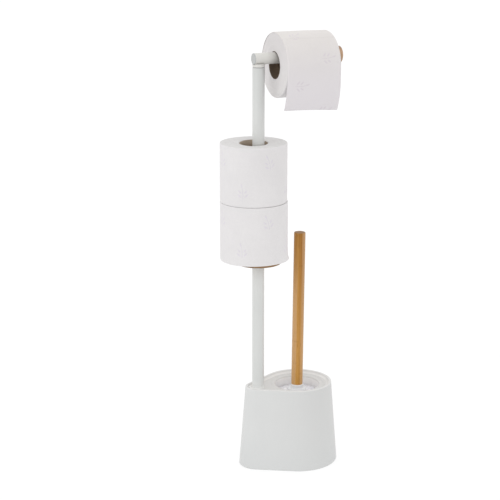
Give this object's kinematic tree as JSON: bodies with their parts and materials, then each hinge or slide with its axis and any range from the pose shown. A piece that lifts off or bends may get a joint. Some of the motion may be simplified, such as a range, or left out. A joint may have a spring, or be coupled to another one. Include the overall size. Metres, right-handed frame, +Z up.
{
  "type": "toilet brush holder with roll post",
  "caption": "Free-standing bathroom stand: weighted drop-shaped base with a brush well, bamboo-handled brush, post with a disc for spare rolls and a swivelling roll arm.",
  "frame": {"origin": "on the floor, under the axis of the post, at the centre of the foot below it", "axes": "+X from the post towards the brush and along the roll arm at rest, +Z up along the post"},
  "size_m": [0.2062, 0.1362, 0.7342],
  "materials": {
    "base_plastic": "satin",
    "cup_plastic": "satin",
    "plug_plastic": "satin",
    "head_plastic": "satin",
    "bush_nylon": "matte",
    "post_paint": "satin",
    "steel": "satin",
    "rubber": "matte",
    "cement": "matte",
    "bamboo": "satin",
    "tissue": "matte",
    "core_board": "matte",
    "tail_paper": "matte",
    "bristle": "matte"
  },
  "bodies": {
    "stand": {"base_shell": "base_plastic", "base_cover": "base_plastic", "cover_screws": "steel", "rubber_feet": "rubber", "ballast_block": "cement", "lower_post": "post_paint", "upper_post": "post_paint", "post_inserts": "steel", "anchor_bolt": "steel", "anchor_washer": "steel", "joiner_stud": "steel", "roll_shelf": "bamboo"},
    "arm_bush": {"swivel_bush": "bush_nylon"},
    "roll_arm": {"arm_tube": "post_paint", "pivot_pin": "steel", "arm_end_plug": "plug_plastic", "end_stop": "bamboo", "end_stop_insert": "bush_nylon", "end_stop_stud": "steel", "paper_tail": "tail_paper"},
    "hanging_roll": {"hanging_roll_paper": "tissue", "hanging_roll_core": "core_board"},
    "lower_spare_roll": {"lower_roll_paper": "tissue", "lower_roll_core": "core_board"},
    "upper_spare_roll": {"upper_roll_paper": "tissue", "upper_roll_core": "core_board"},
    "drip_cup": {"drip_cup": "cup_plastic"},
    "brush": {"brush_handle": "bamboo", "handle_stud": "steel", "brush_head_core": "head_plastic", "brush_bristles": "bristle"}
  },
  "joints": [
    {"name": "arm_lift", "type": "slide", "parent": "stand", "child": "arm_bush", "axis": [0, 0, 1], "range_m": [0, 0.06]},
    {"name": "arm_swivel", "type": "hinge", "parent": "arm_bush", "child": "roll_arm", "pos_m": [0, 0, 0.679], "axis": [0, 0, 1], "continuous": true},
    {"name": "roll_spin", "type": "hinge", "parent": "roll_arm", "child": "hanging_roll", "pos_m": [0.07565, 0, 0.6806], "axis": [1, 0, 0], "continuous": true},
    {"name": "lower_roll_lift", "type": "slide", "parent": "stand", "child": "lower_spare_roll", "axis": [0, 0, 1], "range_m": [0, 0.022]},
    {"name": "upper_roll_lift", "type": "slide", "parent": "lower_spare_roll", "child": "upper_spare_roll", "axis": [0, 0, 1], "range_m": [0, 0.022]},
    {"name": "cup_lift", "type": "slide", "parent": "stand", "child": "drip_cup", "axis": [0, 0, 1], "range_m": [0, 0.1]},
    {"name": "brush_lift", "type": "slide", "parent": "drip_cup", "child": "brush", "axis": [0, 0, 1], "range_m": [0, 0.1]}
  ]
}
